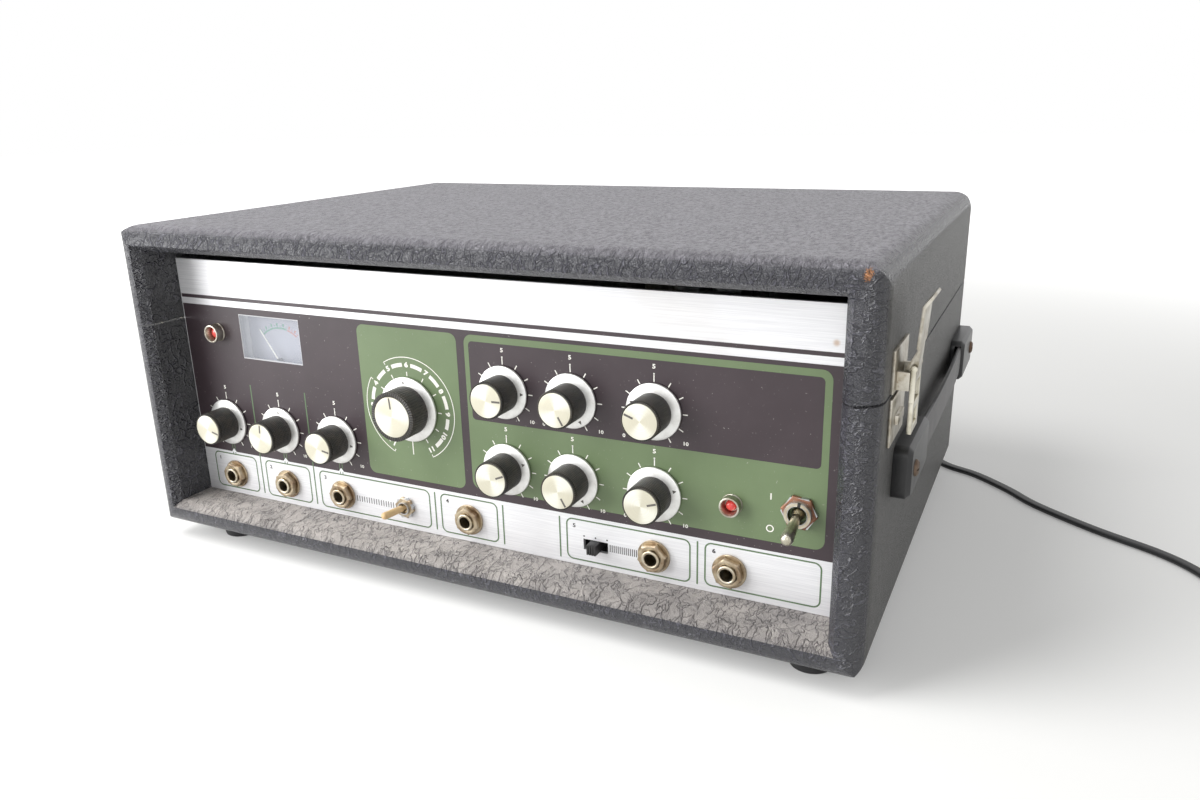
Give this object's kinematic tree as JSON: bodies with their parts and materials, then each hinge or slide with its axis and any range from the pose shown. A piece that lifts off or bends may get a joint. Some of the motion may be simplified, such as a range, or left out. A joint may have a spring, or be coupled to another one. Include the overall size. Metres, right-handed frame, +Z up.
{
  "type": "tape echo unit",
  "caption": "Portable tape echo unit in a vinyl-covered case with a hinged latched lid, a recessed panel of knobs, jacks and a meter, and a coiled flat mains cord.",
  "frame": {"origin": "middle of the body's footprint, on the table under the feet", "axes": "+X to the right seen from the front, +Y to the back, +Z up"},
  "size_m": [0.6855, 0.3674, 0.186],
  "materials": {
    "vinyl": "crinkled vinyl covering on board",
    "black_plastic": "satin black",
    "black_rubber": "matte",
    "panel_metal": "fine brushed, printed",
    "knob_metal": "spun cap, black knurled body",
    "nickel": "old nickel plate",
    "steel": "plain sheet",
    "painted": "satin",
    "strap": "fine lengthwise ribs",
    "clear": "clear",
    "lamp": "clear red lens",
    "cream": "cream",
    "tape": "brown oxide",
    "brass": "satin",
    "board": "green board",
    "cord_plastic": "satin black"
  },
  "bodies": {
    "case": {"lower_case": "vinyl", "feet": "black_rubber", "case_screws": "steel", "front_panel": "panel_metal", "chassis": "steel", "deck_plate": "steel", "handle_straps": "strap", "handle_caps": "black_plastic", "latch_keepers": "nickel", "lower_hinges": "steel", "jacks": "black_plastic", "jack_nuts": "nickel", "meter_case": "cream", "meter_window": "clear", "panel_lamps": "lamp", "power_switch": "black_plastic", "input_switch": "steel", "output_switch": "steel", "pots": "steel", "mode_switch": "painted", "tape_tray": "steel", "tray_cover": "clear", "tape_loop": "tape", "tape_heads": "steel", "motor": "steel", "drive_belt": "black_rubber", "solenoid": "nickel", "transformer": "painted", "circuit_board": "board", "reverb_tank": "steel", "strain_relief": "cord_plastic", "power_cord": "cord_plastic", "cord_coil": "cord_plastic", "plug": "cord_plastic"},
    "lid_body": {"lid": "vinyl", "lid_hinges": "steel", "latch_plates": "nickel"},
    "right_latch_lever_body": {"right_latch_lever": "nickel"},
    "left_latch_lever_body": {"left_latch_lever": "nickel"},
    "right_latch_hook_body": {"right_latch_hook": "nickel"},
    "left_latch_hook_body": {"left_latch_hook": "nickel"},
    "power_lever_body": {"power_lever": "nickel"},
    "input_lever_body": {"input_lever": "cream"},
    "output_slider_body": {"output_slider": "black_plastic"},
    "meter_needle_body": {"meter_needle": "black_plastic"},
    "capstan_flywheel_body": {"capstan_flywheel": "steel"},
    "motor_pulley_body": {"motor_pulley": "brass"},
    "pinch_arm_body": {"pinch_arm": "steel"},
    "pinch_roller_body": {"pinch_roller": "black_rubber"},
    "solenoid_plunger_body": {"solenoid_plunger": "black_plastic"},
    "mic1_knob_body": {"mic1_knob": "knob_metal"},
    "mic2_knob_body": {"mic2_knob": "knob_metal"},
    "instrument_knob_body": {"instrument_knob": "knob_metal"},
    "bass_knob_body": {"bass_knob": "knob_metal"},
    "treble_knob_body": {"treble_knob": "knob_metal"},
    "reverb_knob_body": {"reverb_knob": "knob_metal"},
    "repeat_knob_body": {"repeat_knob": "knob_metal"},
    "intensity_knob_body": {"intensity_knob": "knob_metal"},
    "echo_knob_body": {"echo_knob": "knob_metal"},
    "mode_knob_body": {"mode_knob": "knob_metal"}
  },
  "joints": [
    {"name": "lid_hinge", "type": "hinge", "parent": "case", "child": "lid_body", "pos_m": [0, 0.1501, 0.1307], "axis": [-1, 0, 0], "range_deg": [0, 95]},
    {"name": "right_lever_hinge", "type": "hinge", "parent": "lid_body", "child": "right_latch_lever_body", "pos_m": [0.2117, -0.1185, 0.135], "axis": [0, 1, 0], "range_deg": [-4, 120]},
    {"name": "right_hook_hinge", "type": "hinge", "parent": "right_latch_lever_body", "child": "right_latch_hook_body", "pos_m": [0.2146, -0.1185, 0.14], "axis": [0, 1, 0], "range_deg": [-157, 6]},
    {"name": "left_lever_hinge", "type": "hinge", "parent": "lid_body", "child": "left_latch_lever_body", "pos_m": [-0.2117, -0.1185, 0.135], "axis": [0, -1, 0], "range_deg": [-4, 120]},
    {"name": "left_hook_hinge", "type": "hinge", "parent": "left_latch_lever_body", "child": "left_latch_hook_body", "pos_m": [-0.2146, -0.1185, 0.14], "axis": [0, -1, 0], "range_deg": [-157, 6]},
    {"name": "mic1_turn", "type": "hinge", "parent": "case", "child": "mic1_knob_body", "pos_m": [-0.1672, -0.1285, 0.07], "axis": [0, 1, 0], "range_deg": [-255, 45]},
    {"name": "mic2_turn", "type": "hinge", "parent": "case", "child": "mic2_knob_body", "pos_m": [-0.1266, -0.1285, 0.07], "axis": [0, 1, 0], "range_deg": [-155, 145]},
    {"name": "instrument_turn", "type": "hinge", "parent": "case", "child": "instrument_knob_body", "pos_m": [-0.0856, -0.1285, 0.07], "axis": [0, 1, 0], "range_deg": [-250, 50]},
    {"name": "bass_turn", "type": "hinge", "parent": "case", "child": "bass_knob_body", "pos_m": [0.0242, -0.1285, 0.1099], "axis": [0, 1, 0], "range_deg": [-238, 62]},
    {"name": "treble_turn", "type": "hinge", "parent": "case", "child": "treble_knob_body", "pos_m": [0.0615, -0.1285, 0.1099], "axis": [0, 1, 0], "range_deg": [-300, 0]},
    {"name": "reverb_turn", "type": "hinge", "parent": "case", "child": "reverb_knob_body", "pos_m": [0.1041, -0.1285, 0.1099], "axis": [0, 1, 0], "range_deg": [-80, 220]},
    {"name": "repeat_turn", "type": "hinge", "parent": "case", "child": "repeat_knob_body", "pos_m": [0.0242, -0.1285, 0.0694], "axis": [0, 1, 0], "range_deg": [-217, 83]},
    {"name": "intensity_turn", "type": "hinge", "parent": "case", "child": "intensity_knob_body", "pos_m": [0.0615, -0.1285, 0.0694], "axis": [0, 1, 0], "range_deg": [-300, 0]},
    {"name": "echo_turn", "type": "hinge", "parent": "case", "child": "echo_knob_body", "pos_m": [0.1041, -0.1285, 0.0694], "axis": [0, 1, 0], "range_deg": [-222, 78]},
    {"name": "mode_turn", "type": "hinge", "parent": "case", "child": "mode_knob_body", "pos_m": [-0.0341, -0.1285, 0.0939], "axis": [0, 1, 0], "range_deg": [-145, 185]},
    {"name": "power_toggle", "type": "hinge", "parent": "case", "child": "power_lever_body", "pos_m": [0.1725, -0.1305, 0.0723], "axis": [-1, 0, 0], "range_deg": [0, 25.2]},
    {"name": "input_toggle", "type": "hinge", "parent": "case", "child": "input_lever_body", "pos_m": [-0.0424, -0.1285, 0.037], "axis": [0, 0, 1], "range_deg": [0, 25]},
    {"name": "output_slide", "type": "slide", "parent": "case", "child": "output_slider_body", "axis": [1, 0, 0], "range_m": [-0.004, 0.004]},
    {"name": "needle_swing", "type": "hinge", "parent": "case", "child": "meter_needle_body", "pos_m": [-0.1265, -0.1235, 0.1084], "axis": [0, 1, 0], "range_deg": [0, 68], "stiffness_Nm_per_rad": 0.0001},
    {"name": "flywheel_spin", "type": "hinge", "parent": "case", "child": "capstan_flywheel_body", "pos_m": [0.088, 0.0775, 0.106], "axis": [0, 0, 1], "continuous": true},
    {"name": "pulley_spin", "type": "hinge", "parent": "case", "child": "motor_pulley_body", "pos_m": [0.15, 0.0775, 0.106], "axis": [0, 0, 1], "continuous": true},
    {"name": "pinch_swing", "type": "hinge", "parent": "case", "child": "pinch_arm_body", "pos_m": [0.07, 0.0325, 0.131], "axis": [0, 0, -1], "range_deg": [0, 5], "stiffness_Nm_per_rad": 0.05},
    {"name": "pinch_roll", "type": "hinge", "parent": "pinch_arm_body", "child": "pinch_roller_body", "pos_m": [0.07, 0.0775, 0.138], "axis": [0, 0, 1], "continuous": true},
    {"name": "plunger_pull", "type": "slide", "parent": "case", "child": "solenoid_plunger_body", "axis": [-1, 0, 0], "range_m": [0, 0.0018]}
  ],
  "couplings": [
    {"joint": "right_hook_hinge", "follows": "right_lever_hinge", "ratio": -1.3},
    {"joint": "left_hook_hinge", "follows": "left_lever_hinge", "ratio": -1.3},
    {"joint": "pulley_spin", "follows": "flywheel_spin", "ratio": 5},
    {"joint": "plunger_pull", "follows": "pinch_swing", "m_per_rad": 0.02}
  ]
}
